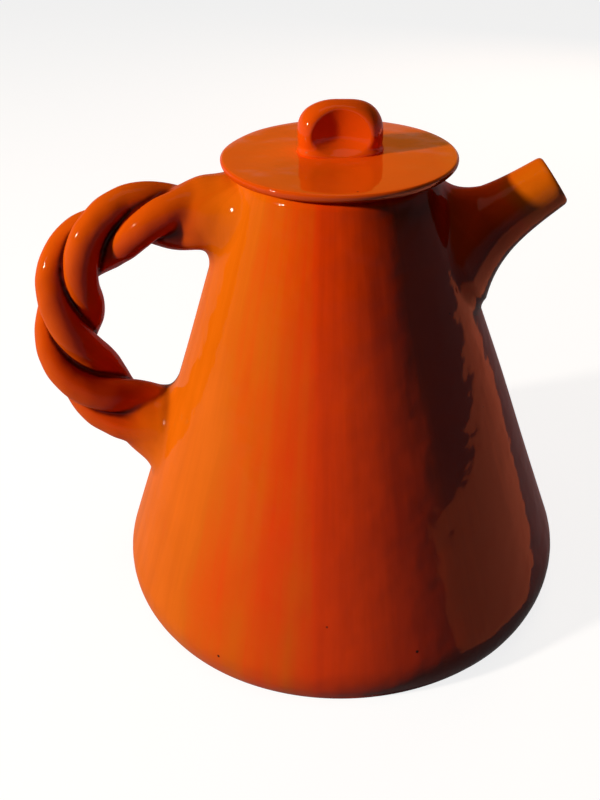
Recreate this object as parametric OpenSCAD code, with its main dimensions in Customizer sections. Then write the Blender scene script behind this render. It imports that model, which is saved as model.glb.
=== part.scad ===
// Glazed earthenware tea and coffee pot with a lift-off lid.
// Origin on the table at the pot's axis, +Z up, +X towards the spout, handle on -X.

/* [Body] */
// Largest diameter of the body
belly_d = 174; // [165:0.5:190]
// Height of the largest diameter above the table
belly_z = 9.5; // [8:0.5:12]
// Radius of the rounded lower edge
belly_round_r = 18; // [14:0.5:22]
// Outside diameter of the rim
rim_d = 66; // [62:0.5:74]
// Height of the rim above the table
rim_z = 165; // [155:0.5:175]
// Thickness of the wall, measured level
wall_t = 5.5; // [4:0.1:7]
// Radius of the rim's rounded edges
rim_round_r = 1.2; // [0.6:0.1:1.8]
// Thickness of the floor slab
floor_t = 7; // [5:0.5:9]
// Width of the wall's bearing ring around the floor slab
foot_w = 8; // [6:0.5:10]
// Height of the cove between the floor and the wall
cove_h = 10; // [6:0.5:14]

/* [Spout] */
// Outside diameter of the spout's mouth
mouth_d = 18.2; // [16:0.2:22]
// Length of the spout from the body to the middle of its mouth
spout_len = 38; // [34:0.5:44]
// Height of the mouth's centre below the rim
mouth_drop = 7; // [4:0.5:11]
// Rise of the spout above level, in degrees
spout_rise = 34; // [30:0.5:40]
// Growth of the spout's radius for each millimetre towards the body
spout_taper = 0.08; // [0.04:0.01:0.14]
// Diameter of the spout's flared foot on the body
spout_foot_d = 47; // [42:0.5:54]
// Thickness of the spout's wall
spout_wall_t = 3.2; // [2.4:0.1:4]
// Diameter of the pouring hole through the body's wall
pour_hole_d = 24; // [18:0.5:28]

/* [Handle] */
// Radius of the handle's loop at the middle of the rope
loop_r = 42.5; // [38:0.5:44]
// Furthest distance of the rope's middle from the pot's axis
loop_reach = 98.8; // [96:0.2:108]
// Angle that the loop turns through, in degrees
loop_turn = 141; // [135:1:146]
// Drop of the rope's upper end below the rim
rope_drop = 14.5; // [13:0.5:18]
// Thickness of one clay strand
strand_d = 11.2; // [9:0.1:11.4]
// Gap between two strands
strand_gap = 0.3; // [0.2:0.05:0.6]
// Length of rope for one full turn of the twist
twist_pitch = 81.6; // [65:0.2:110]
// Length of rope from the loop's top to where the first strand lies outermost
twist_start = 14.7; // [0:0.1:27]
// Length of each root between the rope and the body
root_len = 12; // [9:0.5:14]
// Diameter of the upper root on the body
upper_root_d = 34; // [28:0.5:36]
// Diameter of the lower root on the body
lower_root_d = 36; // [28:0.5:40]

/* [Lid] */
// Diameter of the lid's plate
lid_d = 80.4; // [76:0.2:84]
// Thickness of the lid's plate
lid_t = 3; // [2.5:0.1:5]
// Radius of the plate's rounded upper edge
lid_edge_r = 1.5; // [0.8:0.1:1.7]
// Offset of the plate from the locating ring, towards the spout
lid_x = 1.2; // [0:0.1:2.5]
// Offset of the plate from the locating ring, to the left of the spout
lid_y = 4; // [0:0.5:5]
// Depth of the locating ring below the plate
ring_depth = 9; // [6:0.5:14]
// Thickness of the locating ring
ring_t = 4; // [3:0.1:6]
// Clearance between the locating ring and the rim
ring_clear = 0.4; // [0.3:0.05:0.8]

/* [Knob] */
// Width of the pinched knob
knob_w = 29; // [26:0.5:34]
// Height of the knob above the lid
knob_h = 17; // [15:0.5:22]
// Thickness of the knob's rolled edge
knob_t = 14; // [12:0.5:17]
// Radius of the knob's upper corners
knob_corner_r = 11; // [9:0.5:12]
// Diameter of each thumb dimple
dimple_d = 16; // [12:0.5:18]
// Depth of each thumb dimple
dimple_depth = 2.8; // [1.5:0.1:4.5]
// Height of the dimples' middle above the lid
dimple_z = 8; // [6.5:0.5:10]
// Offset of the knob from the plate's middle, towards the spout
knob_x = 0.4; // [0:0.1:4]
// Offset of the knob from the plate's middle, to the left of the spout
knob_y = 3; // [0:0.5:6]

/* [Hidden] */
$fn = 96;

glaze = [0.80, 0.27, 0.03];
bare_clay = [0.66, 0.36, 0.22];

// Room that a cutting tool runs past the faces it cuts
past = 2;
// Thickness of the disc that starts a hull at the end of the rope
disc_t = 0.1;
// Degrees between the points of a round stretch of an outline
arc_step = 6;
// Facets of the circles inside a hull
hull_fn = 32;

// Body outline: a round lower edge, then a straight flank up to the rim
rim_r = rim_d / 2;
edge_x = belly_d / 2 - belly_round_r;
foot_angle = -asin(belly_z / belly_round_r);
foot_r = edge_x + belly_round_r * cos(foot_angle);
rim_dx = rim_r - edge_x;
rim_dz = rim_z - belly_z;
flank_angle = atan2(rim_dz, rim_dx) - acos(belly_round_r / norm([rim_dx, rim_dz]));
flank_r = edge_x + belly_round_r * cos(flank_angle);
flank_z = belly_z + belly_round_r * sin(flank_angle);
flank_lean = (flank_r - rim_r) / (rim_z - flank_z);
slab_r = foot_r - foot_w;
cove_top_z = floor_t + cove_h;

function wall_r(z) = rim_r + flank_lean * (rim_z - z);

function arc_angles(from, to) =
    let (steps = ceil(abs(to - from) / arc_step))
    [for (i = [0 : steps]) from + (to - from) * i / steps];

outer_edge = [for (a = arc_angles(foot_angle, flank_angle))
    [edge_x + belly_round_r * cos(a), belly_z + belly_round_r * sin(a)]];

// The cove turns the level floor up into the inside of the flank
cove_w = wall_r(cove_top_z) - wall_t - slab_r;
cove = [for (a = arc_angles(90, 0))
    [slab_r + cove_w * cos(a), floor_t + cove_h * (1 - sin(a))]];

// The rim is rounded over from the outside to the inside
rim_edge = concat(
    [for (a = arc_angles(0, 90))
        [rim_r - rim_round_r * (1 - cos(a)), rim_z - rim_round_r * (1 - sin(a))]],
    [for (a = arc_angles(90, 180))
        [rim_r - wall_t + rim_round_r * (1 + cos(a)), rim_z - rim_round_r * (1 - sin(a))]]);

// Spout: a flared tube on a sloping axis, measured back from its mouth
mouth_r = mouth_d / 2;
mouth_z = rim_z - mouth_drop;
spout_foot_r = spout_foot_d / 2;
spout_flare_power = 3.6;
mouth_x = wall_r(mouth_z - spout_len * sin(spout_rise)) + spout_len * cos(spout_rise);
// The foot is widest just inside the body, and the tube runs on to be cut by it
spout_foot_run = 4;
spout_foot_len = spout_len + spout_foot_run;
spout_end_len = 2 * spout_len;
spout_rings = 16;

function spout_r(u) = mouth_r + spout_taper * u
    + (spout_foot_r - mouth_r - spout_taper * spout_foot_len) * pow(u / spout_foot_len, spout_flare_power);

// Handle: a rope of three strands along a lead, an arc and a second lead
strand_r = strand_d / 2;
strand_count = 3;
half_sector = 180 / strand_count;
// A strand is cut aslant by the rope's own cross-section, so it is wider round the rope
twist_slope = 2 * PI * strand_r / sin(half_sector) / twist_pitch;
strand_side_r = strand_r * norm([1, twist_slope]);
strand_reach = norm([strand_r * sin(half_sector), strand_side_r * cos(half_sector)]);
strand_offset = (strand_reach + strand_gap / 2) / sin(half_sector);
rope_r = strand_offset + strand_r;
strand_sides = 16;
ring_step = 3;

loop_x = -(loop_reach - loop_r);
rope_z = rim_z - rope_drop;
loop_z = rope_z - loop_r;
arc_len = loop_r * loop_turn * PI / 180;

function arc_point(a) = [loop_x - loop_r * sin(a), loop_z + loop_r * cos(a)];
function heading(a) = [-cos(a), -sin(a)];

// Distance from a point on the handle's side to the body's flank along a direction
function to_flank(p, d) = (-wall_r(p[1]) - p[0]) / (d[0] - flank_lean * d[1]);

upper_lead = to_flank(arc_point(0), -heading(0)) - root_len;
lower_lead = to_flank(arc_point(loop_turn), heading(loop_turn)) - root_len;
rope_len = upper_lead + arc_len + lower_lead;

function turn_at(s) = min(max((s - upper_lead) / arc_len, 0), 1) * loop_turn;
function rope_point(s) =
    s < upper_lead ? arc_point(0) + (s - upper_lead) * heading(0) :
    s > upper_lead + arc_len ? arc_point(loop_turn) + (s - upper_lead - arc_len) * heading(loop_turn) :
    arc_point(turn_at(s));

// One ring of a strand, in the rope's own cross-section at length s
function strand_ring(s, number) =
    let (a = turn_at(s),
         middle = rope_point(s),
         outward = [-sin(a), 0, cos(a)],
         sideways = [0, -1, 0],
         twist = 360 * (s - upper_lead - twist_start) / twist_pitch - 360 * number / strand_count,
         radial = outward * cos(twist) + sideways * sin(twist),
         round = sideways * cos(twist) - outward * sin(twist))
    [for (j = [0 : strand_sides - 1])
        let (b = 360 * j / strand_sides)
        [middle[0], 0, middle[1]] + radial * (strand_offset + strand_r * cos(b))
            + round * strand_side_r * sin(b)];

// Lid and knob
lid_z = rim_z;
lid_top = lid_z + lid_t;
ring_r = rim_r - wall_t - ring_clear;
lid_under_edge_r = 0.8;
knob_roll_r = knob_t / 2;
// The knob's foot is a little thinner than its rolled edge and sinks into the lid
knob_foot_share = 0.9;
knob_foot_r = knob_roll_r * knob_foot_share;
knob_foot_z = knob_foot_r / 2;
dimple_r = (dimple_d * dimple_d / 4 + dimple_depth * dimple_depth) / (2 * dimple_depth);

module body_outline() {
    polygon(concat([[0, 0]], outer_edge, [[rim_r, rim_z], [0, rim_z]]));
}

module filled_body() {
    rotate_extrude() body_outline();
}

module on_spout_axis() {
    translate([mouth_x, 0, mouth_z]) rotate([0, -90 - spout_rise, 0]) children();
}

// A tube of rings joined by triangles, closed flat at both ends
module skin_rings(rings) {
    n = len(rings[0]);
    last = len(rings) - 1;
    points = [for (ring = rings) each ring];
    sides = [for (i = [0 : last - 1], j = [0 : n - 1])
        let (a = i * n + j, b = i * n + (j + 1) % n)
        each [[a, b, b + n], [a, b + n, a + n]]];
    start = [for (j = [1 : n - 2]) [0, j + 1, j]];
    finish = [for (j = [1 : n - 2]) [last * n, last * n + j, last * n + j + 1]];
    polyhedron(points, concat(sides, start, finish), convexity = 6);
}

module body_wall() {
    color(glaze) difference() {
        rotate_extrude() polygon(concat(
            [[slab_r, 0]], outer_edge, rim_edge,
            [for (i = [len(cove) - 1 : -1 : 0]) cove[i]]));
        on_spout_axis() cylinder(d = pour_hole_d, h = spout_end_len);
    }
}

module floor_slab() {
    color(bare_clay) cylinder(r = slab_r, h = floor_t);
}

module spout() {
    lengths = [for (i = [0 : spout_rings]) spout_foot_len * i / spout_rings];
    outside = [for (u = lengths) [spout_r(u), u]];
    inside = [for (i = [spout_rings : -1 : 0]) [spout_r(lengths[i]) - spout_wall_t, lengths[i]]];
    color(glaze) difference() {
        on_spout_axis() rotate_extrude() polygon(concat(
            outside,
            [[spout_foot_r, spout_end_len], [spout_foot_r - spout_wall_t, spout_end_len]],
            inside));
        filled_body();
    }
}

// A root widens from the end of the rope to the body and sags below the rope's line
module root(s, direction, foot_d) {
    p = rope_point(s);
    sag = foot_d / 2 - rope_r;
    lean = atan2(direction[0], direction[1]);
    color(glaze) difference() {
        translate([p[0], 0, p[1]]) hull() {
            rotate([0, lean, 0]) cylinder(r = rope_r, h = disc_t, $fn = hull_fn);
            translate([root_len * direction[0], 0, root_len * direction[1] - sag])
                rotate([0, lean, 0]) cylinder(d = foot_d, h = foot_d / 2, $fn = hull_fn);
        }
        filled_body();
    }
}

module upper_root() {
    root(0, -heading(0), upper_root_d);
}

module lower_root() {
    root(rope_len, heading(loop_turn), lower_root_d);
}

module handle_strand(number) {
    steps = ceil(rope_len / ring_step);
    color(glaze) skin_rings([for (i = [0 : steps]) strand_ring(rope_len * i / steps, number)]);
}

module lid_plate() {
    r = lid_d / 2;
    upper_edge = [for (a = arc_angles(0, 90))
        [r - lid_edge_r * (1 - cos(a)), lid_top - lid_edge_r * (1 - sin(a))]];
    under_edge = [for (a = arc_angles(-90, 0))
        [r - lid_under_edge_r * (1 - cos(a)), lid_z + lid_under_edge_r * (1 + sin(a))]];
    color(glaze) translate([lid_x, lid_y, 0]) rotate_extrude() polygon(concat(
        [[0, lid_z]], under_edge, upper_edge, [[0, lid_top]]));
}

module locating_ring() {
    color(glaze) translate([0, 0, lid_z - ring_depth]) difference() {
        cylinder(r = ring_r, h = ring_depth);
        translate([0, 0, -past]) cylinder(r = ring_r - ring_t, h = ring_depth + 2 * past);
    }
}

module lid_knob() {
    rolled_edge = [for (a = arc_angles(-90, 90))
        [knob_corner_r - knob_roll_r + knob_roll_r * cos(a), knob_roll_r * sin(a)]];
    color(glaze) translate([lid_x + knob_x, lid_y + knob_y, lid_top]) difference() {
        hull() for (side = [-1, 1]) {
            translate([side * (knob_w / 2 - knob_corner_r), 0, knob_h - knob_corner_r])
                rotate([90, 0, 0]) rotate_extrude($fn = hull_fn)
                    polygon(concat([[0, -knob_roll_r]], rolled_edge, [[0, knob_roll_r]]));
            translate([side * (knob_w / 2 - knob_foot_r), 0, knob_foot_z])
                sphere(r = knob_foot_r, $fn = hull_fn);
        }
        translate([-knob_w, -knob_w, -knob_w]) cube([2 * knob_w, 2 * knob_w, knob_w]);
        for (side = [-1, 1])
            translate([0, side * (knob_roll_r + dimple_r - dimple_depth), dimple_z])
                sphere(r = dimple_r);
    }
}

body_wall();
floor_slab();
spout();
upper_root();
lower_root();
handle_strand(0);  // handle_strand_1
handle_strand(1);  // handle_strand_2
handle_strand(2);  // handle_strand_3
lid_plate();
locating_ring();
lid_knob();
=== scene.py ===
import bpy
import bmesh
import math
from mathutils import Matrix, Vector, noise


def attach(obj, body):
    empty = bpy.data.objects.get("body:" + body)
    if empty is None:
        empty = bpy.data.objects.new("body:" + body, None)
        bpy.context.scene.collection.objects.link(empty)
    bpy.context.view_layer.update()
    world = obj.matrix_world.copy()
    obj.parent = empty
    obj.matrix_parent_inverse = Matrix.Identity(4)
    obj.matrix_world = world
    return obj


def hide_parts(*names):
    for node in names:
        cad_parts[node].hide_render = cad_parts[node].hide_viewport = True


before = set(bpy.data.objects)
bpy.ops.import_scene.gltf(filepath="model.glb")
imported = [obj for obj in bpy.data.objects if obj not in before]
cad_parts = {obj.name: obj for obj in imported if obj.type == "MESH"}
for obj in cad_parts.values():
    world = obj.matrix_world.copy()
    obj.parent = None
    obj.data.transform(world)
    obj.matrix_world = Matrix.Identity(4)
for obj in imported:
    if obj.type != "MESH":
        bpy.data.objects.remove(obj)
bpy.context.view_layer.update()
scene = bpy.context.scene
mm = 0.001  # sizes of the pieces and the view are in millimetres, those of the studio in metres
print("frame:", ", ".join(sorted(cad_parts)))


def linearHex(code):
    channels = [int(code[i:i + 2], 16) / 255 for i in (1, 3, 5)]
    return [c / 12.92 if c <= 0.04045 else ((c + 0.055) / 1.055) ** 2.4 for c in channels] + [1.0]


def addNode(tree, kind, sets, feeds):  # sets: properties and socket values, feeds: links into sockets
    node = tree.nodes.new(kind)
    for key, value in sets.items():
        if isinstance(key, str) and hasattr(node, key):
            setattr(node, key, value)
        else:
            node.inputs[key].default_value = value
    for key, source in feeds.items():
        tree.links.new(source, node.inputs[key])
    return node


def setStops(ramp, stops):
    while len(ramp.elements) < len(stops):
        ramp.elements.new(1.0)
    for element, (place, code) in zip(ramp.elements, stops):
        element.position = place
        element.color = linearHex(code)


# Materials

potGlaze = {
    "name": "honeyGlazedEarthenware",
    "pale": "#E66C0C",       # thinnest, in streaks; also painted light on the lit handle side
    "thinAndLit": "#DA6405",       # honey where the glaze runs thinner, and painted light on the lit handle side and the lit tip of the spout
    "body": "#EA4003",       # over most of the pot
    "ember": "#B62602",      # redder and darker towards the spout: painted shade on the side away from the key light
    "thinAndLitAt": 0.16, "bodyAt": 0.52, "emberAt": 0.95,     # where these stand between thinnest and thickest glaze, and between painted light and painted shade
    "rope": "#CA2B04",       # redder on the thick coils of the handle
    "deep": "#5A0A02",       # gathered in creases, and painted shade in the creases and on the inside of the handle's loop
    "pinhole": "#2A0A02",
    "rough": 0.5, "ior": 1.5,
    "coat": 0.1, "coatRough": 0.06,                      # a full coat would veil the wall with white
    "handleSide": -0.9, "spoutSide": 0.6, "litSideTone": 0.07, "shadedSideTone": 1.0,  # round the pot: painted light on the handle side, painted shade on the spout side
    "mouthWay": (1.0, 0.0, 0.8), "mouthFrom": 166.0, "mouthTo": 188.0,   # out along the spout: painted light that makes the tip paler
    "litTipTone": -0.85,
    "runWidth": 7.0, "runAt": 60.0, "runLength": 150.0,  # runs down the wall: width at a radius, and length
    "runShare": 0.5,
    "cloudSize": 40.0, "cloudShare": 0.35,               # uneven thickness
    "pinholeGap": 17.0, "pinholeR": 0.65, "pinholeCore": 0.6,
    "lumpSize": 9.0, "lumpHeight": 0.42,                 # soft dents left by the hand
    "peelSize": 2.8, "peelHeight": 0.05,                 # orange peel, as coarse as it needs to show
}
lidGlaze = {
    **potGlaze, "name": "honeyGlazedLidPaintedBright",  # brighter as painted light on the lid's up-facing top, more even, more mirror-like
    "pale": "#FC760A", "thinAndLit": "#F86A08", "body": "#F45605", "ember": "#E84604", "coat": 0.75,
    "litSideTone": 0.5, "shadedSideTone": 0.56, "runShare": 0.1, "cloudShare": 0.45,
    "lumpSize": 12.0, "lumpHeight": 0.2, "peelHeight": 0.012,
}
knobGlaze = {
    **lidGlaze, "name": "honeyGlazedKnob",  # thumbed clay: the knob, and the edge and underside of the lid
    "pale": "#EE700A", "thinAndLit": "#E46008", "body": "#DE4C05", "ember": "#D04004",
    "coat": 0.2, "runShare": 0.0,
}


def makeGlaze(look):  # honey glaze on red earthenware: wet gloss, runs down the wall, dark glaze in creases that is partly painted shade, and painted light and shade round the pot and on the spout's tip
    material = bpy.data.materials.new(look["name"])
    material.use_nodes = True
    tree = material.node_tree
    tree.nodes.clear()
    place = addNode(tree, "ShaderNodeTexCoord", {}, {}).outputs["Object"]
    level = addNode(tree, "ShaderNodeVectorMath", {"operation": "MULTIPLY", 1: (1, 1, 0)}, {0: place})
    around = addNode(tree, "ShaderNodeVectorMath", {"operation": "NORMALIZE"}, {0: level.outputs[0]})
    slow = 1 / (look["runLength"] * mm)
    down = addNode(tree, "ShaderNodeVectorMath", {"operation": "MULTIPLY", 1: (0, 0, slow)}, {0: place})
    across = look["runAt"] / look["runWidth"]
    stretched = addNode(tree, "ShaderNodeVectorMath", {"operation": "MULTIPLY_ADD", 1: (across, across, 0)},
                        {0: around.outputs[0], 2: down.outputs[0]})
    runs = addNode(tree, "ShaderNodeTexNoise", {"Scale": 1.0, "Detail": 4.0, "Roughness": 0.6},
                   {"Vector": stretched.outputs[0]})
    clouds = addNode(tree, "ShaderNodeTexNoise", {"Scale": 1 / (look["cloudSize"] * mm), "Detail": 3.0},
                     {"Vector": place})
    axes = addNode(tree, "ShaderNodeSeparateXYZ", {}, {"Vector": around.outputs[0]})
    spread = (look["runShare"] + look["cloudShare"]) / 2  # both noises swing about a half

    outwards = addNode(tree, "ShaderNodeVectorMath", {"operation": "DOT_PRODUCT", 1: look["mouthWay"]},
                       {0: place})
    # paler on the lit handle side, redder and darker on the shaded spout side: painted light and shade
    warm = addNode(tree, "ShaderNodeMapRange",
                   {"From Min": look["handleSide"], "From Max": look["spoutSide"],
                    "To Min": look["litSideTone"], "To Max": look["shadedSideTone"]}, {"Value": axes.outputs["X"]})
    # the spout's tip paler: painted light where it stands in the key light
    paintedTipLight = addNode(tree, "ShaderNodeMapRange",
                   {"From Min": look["mouthFrom"] * mm, "From Max": look["mouthTo"] * mm,
                    "To Max": look["litTipTone"]}, {"Value": outwards.outputs["Value"]})
    paintedLightTone = addNode(tree, "ShaderNodeMath", {"operation": "ADD"}, {0: warm.outputs[0], 1: paintedTipLight.outputs[0]})
    streaked = addNode(tree, "ShaderNodeMath", {"operation": "MULTIPLY_ADD", 1: look["runShare"]},
                       {0: runs.outputs[0], 2: paintedLightTone.outputs[0]})
    clouded = addNode(tree, "ShaderNodeMath", {"operation": "MULTIPLY_ADD", 1: look["cloudShare"]},
                      {0: clouds.outputs[0], 2: streaked.outputs[0]})
    evened = addNode(tree, "ShaderNodeMath", {"operation": "SUBTRACT", 1: spread}, {0: clouded.outputs[0]})
    tone = addNode(tree, "ShaderNodeValToRGB", {}, {"Fac": evened.outputs[0]})
    setStops(tone.color_ramp, [(0.0, look["pale"]), (look["thinAndLitAt"], look["thinAndLit"]),
                               (look["bodyAt"], look["body"]), (look["emberAt"], look["ember"])])
    # the handle's redder coils, paler on the outside of the loop as painted light
    coil = addNode(tree, "ShaderNodeAttribute", {"attribute_name": "coil"}, {})
    coiled = addNode(tree, "ShaderNodeMix", {"data_type": "RGBA", 7: linearHex(look["rope"])},
                     {0: coil.outputs["Fac"], 6: tone.outputs[0]})
    # glaze gathered in creases, partly painted shade, and painted shade on the inside of the handle's loop
    poolAndShade = addNode(tree, "ShaderNodeAttribute", {"attribute_name": "poolAndShade"}, {})
    pooledAndShaded = addNode(tree, "ShaderNodeMix", {"data_type": "RGBA", 7: linearHex(look["deep"])},
                     {0: poolAndShade.outputs["Fac"], 6: coiled.outputs[2]})
    cells = addNode(tree, "ShaderNodeTexVoronoi", {"Scale": 1 / (look["pinholeGap"] * mm)},
                    {"Vector": place})
    dotR = look["pinholeR"] / look["pinholeGap"]
    dot = addNode(tree, "ShaderNodeMapRange", {"From Min": dotR, "From Max": look["pinholeCore"] * dotR},
                  {"Value": cells.outputs["Distance"]})
    dotted = addNode(tree, "ShaderNodeMix", {"data_type": "RGBA", 7: linearHex(look["pinhole"])},
                     {0: dot.outputs[0], 6: pooledAndShaded.outputs[2]})
    lumps = addNode(tree, "ShaderNodeTexNoise", {"Scale": 1 / (look["lumpSize"] * mm), "Detail": 1.0},
                    {"Vector": place})
    peel = addNode(tree, "ShaderNodeTexNoise", {"Scale": 1 / (look["peelSize"] * mm), "Detail": 1.0},
                   {"Vector": place})
    dented = addNode(tree, "ShaderNodeBump", {"Strength": 1.0, "Distance": look["lumpHeight"] * mm},
                     {"Height": lumps.outputs[0]})
    peeled = addNode(tree, "ShaderNodeBump", {"Strength": 1.0, "Distance": look["peelHeight"] * mm},
                     {"Height": peel.outputs[0], "Normal": dented.outputs[0]})
    shader = addNode(tree, "ShaderNodeBsdfPrincipled",  # only the coat shines
                     {"Roughness": look["rough"], "IOR": look["ior"], "Specular IOR Level": 0.0,
                      "Coat Weight": look["coat"], "Coat Roughness": look["coatRough"],
                      "Coat IOR": look["ior"]},
                     {"Base Color": dotted.outputs[2], "Normal": peeled.outputs[0],
                      "Coat Normal": peeled.outputs[0]})
    addNode(tree, "ShaderNodeOutputMaterial", {}, {"Surface": shader.outputs[0]})
    return material


clayLook = {"light": "#C07048", "dark": "#9C5030", "lightTo": 0.5, "darkFrom": 0.85,
            "rough": 0.85, "ior": 1.5,
            "gritSize": 0.9, "gritHeight": 0.06, "gritShare": 0.35, "stainSize": 28.0}


def makeBareClay(look):  # fired red earthenware left unglazed: matt, gritty, unevenly stained
    material = bpy.data.materials.new("bareRedEarthenware")
    material.use_nodes = True
    tree = material.node_tree
    tree.nodes.clear()
    place = addNode(tree, "ShaderNodeTexCoord", {}, {}).outputs["Object"]
    grit = addNode(tree, "ShaderNodeTexNoise", {"Scale": 1 / (look["gritSize"] * mm), "Detail": 3.0},
                   {"Vector": place})
    stain = addNode(tree, "ShaderNodeTexNoise", {"Scale": 1 / (look["stainSize"] * mm), "Detail": 4.0},
                    {"Vector": place})
    mixed = addNode(tree, "ShaderNodeMath", {"operation": "MULTIPLY_ADD", 1: look["gritShare"]},
                    {0: grit.outputs[0], 2: stain.outputs[0]})
    tone = addNode(tree, "ShaderNodeMapRange", {"From Min": look["lightTo"], "From Max": look["darkFrom"]},
                   {"Value": mixed.outputs[0]})
    colour = addNode(tree, "ShaderNodeValToRGB", {}, {"Fac": tone.outputs[0]})
    setStops(colour.color_ramp, [(0.0, look["light"]), (1.0, look["dark"])])
    rough = addNode(tree, "ShaderNodeBump", {"Strength": 1.0, "Distance": look["gritHeight"] * mm},
                    {"Height": grit.outputs[0]})
    shader = addNode(tree, "ShaderNodeBsdfPrincipled", {"Roughness": look["rough"], "IOR": look["ior"]},
                     {"Base Color": colour.outputs[0], "Normal": rough.outputs[0]})
    addNode(tree, "ShaderNodeOutputMaterial", {}, {"Surface": shader.outputs[0]})
    return material


glaze, paintedBrightLidGlaze, thumbedGlaze = makeGlaze(potGlaze), makeGlaze(lidGlaze), makeGlaze(knobGlaze)
bareClay = makeBareClay(clayLook)
print("materials made")


def joinRings(rings, ends):  # "loop" joins the last ring to the first, "fans" closes both with a point
    points, faces = [], []
    count = len(rings[0])
    for ring in rings:
        points.extend(ring)
    pairs = [(i, i + 1) for i in range(len(rings) - 1)]
    if ends == "loop":
        pairs.append((len(rings) - 1, 0))
    for a, b in pairs:
        for j in range(count):
            k = (j + 1) % count
            faces.append((a * count + j, a * count + k, b * count + k, b * count + j))
    if ends == "fans":
        for row in (0, len(rings) - 1):
            points.append(sum(rings[row], Vector()) / count)
            for j in range(count):
                faces.append((len(points) - 1, row * count + j, row * count + (j + 1) % count))
    return points, faces


def clayPiece(name, points, faces, coat=glaze):
    mesh = bpy.data.meshes.new(name)
    mesh.from_pydata([tuple(p * mm) for p in points], [], faces)
    work = bmesh.new()
    work.from_mesh(mesh)
    bmesh.ops.recalc_face_normals(work, faces=work.faces)
    for face in work.faces:
        face.smooth = True
    work.to_mesh(mesh)
    work.free()
    mesh.materials.append(coat)
    piece = bpy.data.objects.new(name, mesh)
    scene.collection.objects.link(piece)
    return piece


def handIn(piece, body, nodes):
    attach(piece, body)
    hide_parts(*nodes)
    print("piece:", piece.name, len(piece.data.polygons), "faces")


def smoothStep(low, high, value):
    t = min(1.0, max(0.0, (value - low) / (high - low)))
    return t * t * (3 - 2 * t)


def turned(r, z, slices):  # one ring on the pot's axis
    angles = [2 * math.pi * j / slices for j in range(slices)]
    return [Vector((r * math.cos(a), r * math.sin(a), z)) for a in angles]


def arc(centreR, centreZ, radius, start, stop, steps):  # points of a rounded edge, degrees from level
    turns = [math.radians(start + (stop - start) * i / steps) for i in range(steps + 1)]
    return [(centreR + radius * math.cos(t), centreZ + radius * math.sin(t)) for t in turns]


# Body

potBody = {
    "bellyR": 87.0, "bellyZ": 9.5, "edgeR": 18.0, "rimR": 33.0, "rimZ": 165.0, "rimRound": 1.2,
    "wall": 5.5, "floor": 7.0, "floorR": 76.0, "coveH": 10.0, "footRound": 0.9, "footInset": 1.0,
    "slices": 192, "rowGap": 2.0, "insideGap": 4.0,
    "footRings": (10, 30, 50, 66, 76), "floorRings": (66, 50, 32, 14),  # radii, under the floor and on it
    "footTurn": -20, "rimTurn": 15, "coveTurn": 10,            # where the rounded edges meet the wall
    "footSteps": 4, "outerSteps": 5, "innerSteps": 6, "coveSteps": 8,
    "lumpSize": 55.0, "lumpHeight": 0.55, "lumpFade": 14.0,    # out of true by hand, less at the rim
    "ringGap": 12.0, "ringHeight": 0.3, "ringFade": (4, 20),   # finger rings inside
    "bareBelow": 0.4, "lowest": 0.5,
    "probeTurn": 0.01, "probeRise": 0.5,                       # steps that read the wall's slope
}
edgeX = potBody["bellyR"] - potBody["edgeR"]
rimRun, rimRise = potBody["rimR"] - edgeX, potBody["rimZ"] - potBody["bellyZ"]
flankTurn = math.atan2(rimRise, rimRun) - math.acos(potBody["edgeR"] / math.hypot(rimRun, rimRise))
flankR = edgeX + potBody["edgeR"] * math.cos(flankTurn)
flankZ = potBody["bellyZ"] + potBody["edgeR"] * math.sin(flankTurn)
flankLean = (flankR - potBody["rimR"]) / (potBody["rimZ"] - flankZ)


def trueRadius(z):
    if z > flankZ:
        return potBody["rimR"] + flankLean * (potBody["rimZ"] - z)
    return edgeX + math.sqrt(potBody["edgeR"] ** 2 - (z - potBody["bellyZ"]) ** 2)


def wallRadius(angle, z):
    r = trueRadius(z)
    spot = Vector((r * math.cos(angle), r * math.sin(angle), z))
    fade = smoothStep(0, potBody["lumpFade"], potBody["rimZ"] - z)
    return r + fade * potBody["lumpHeight"] * noise.noise(spot / potBody["lumpSize"])


def bodyPoint(angle, z, sink=0.0):
    r = wallRadius(angle, z) - sink
    return Vector((r * math.cos(angle), r * math.sin(angle), z))


def bodyNormal(angle, z):
    turn, rise = potBody["probeTurn"], potBody["probeRise"]
    around = bodyPoint(angle + turn, z) - bodyPoint(angle - turn, z)
    upwards = bodyPoint(angle, z + rise) - bodyPoint(angle, z - rise)
    return around.cross(upwards).normalized()


def insideBody(p):
    if not potBody["lowest"] < p.z < potBody["rimZ"]:
        return False
    return math.hypot(p.x, p.y) < wallRadius(math.atan2(p.y, p.x), p.z)


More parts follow.
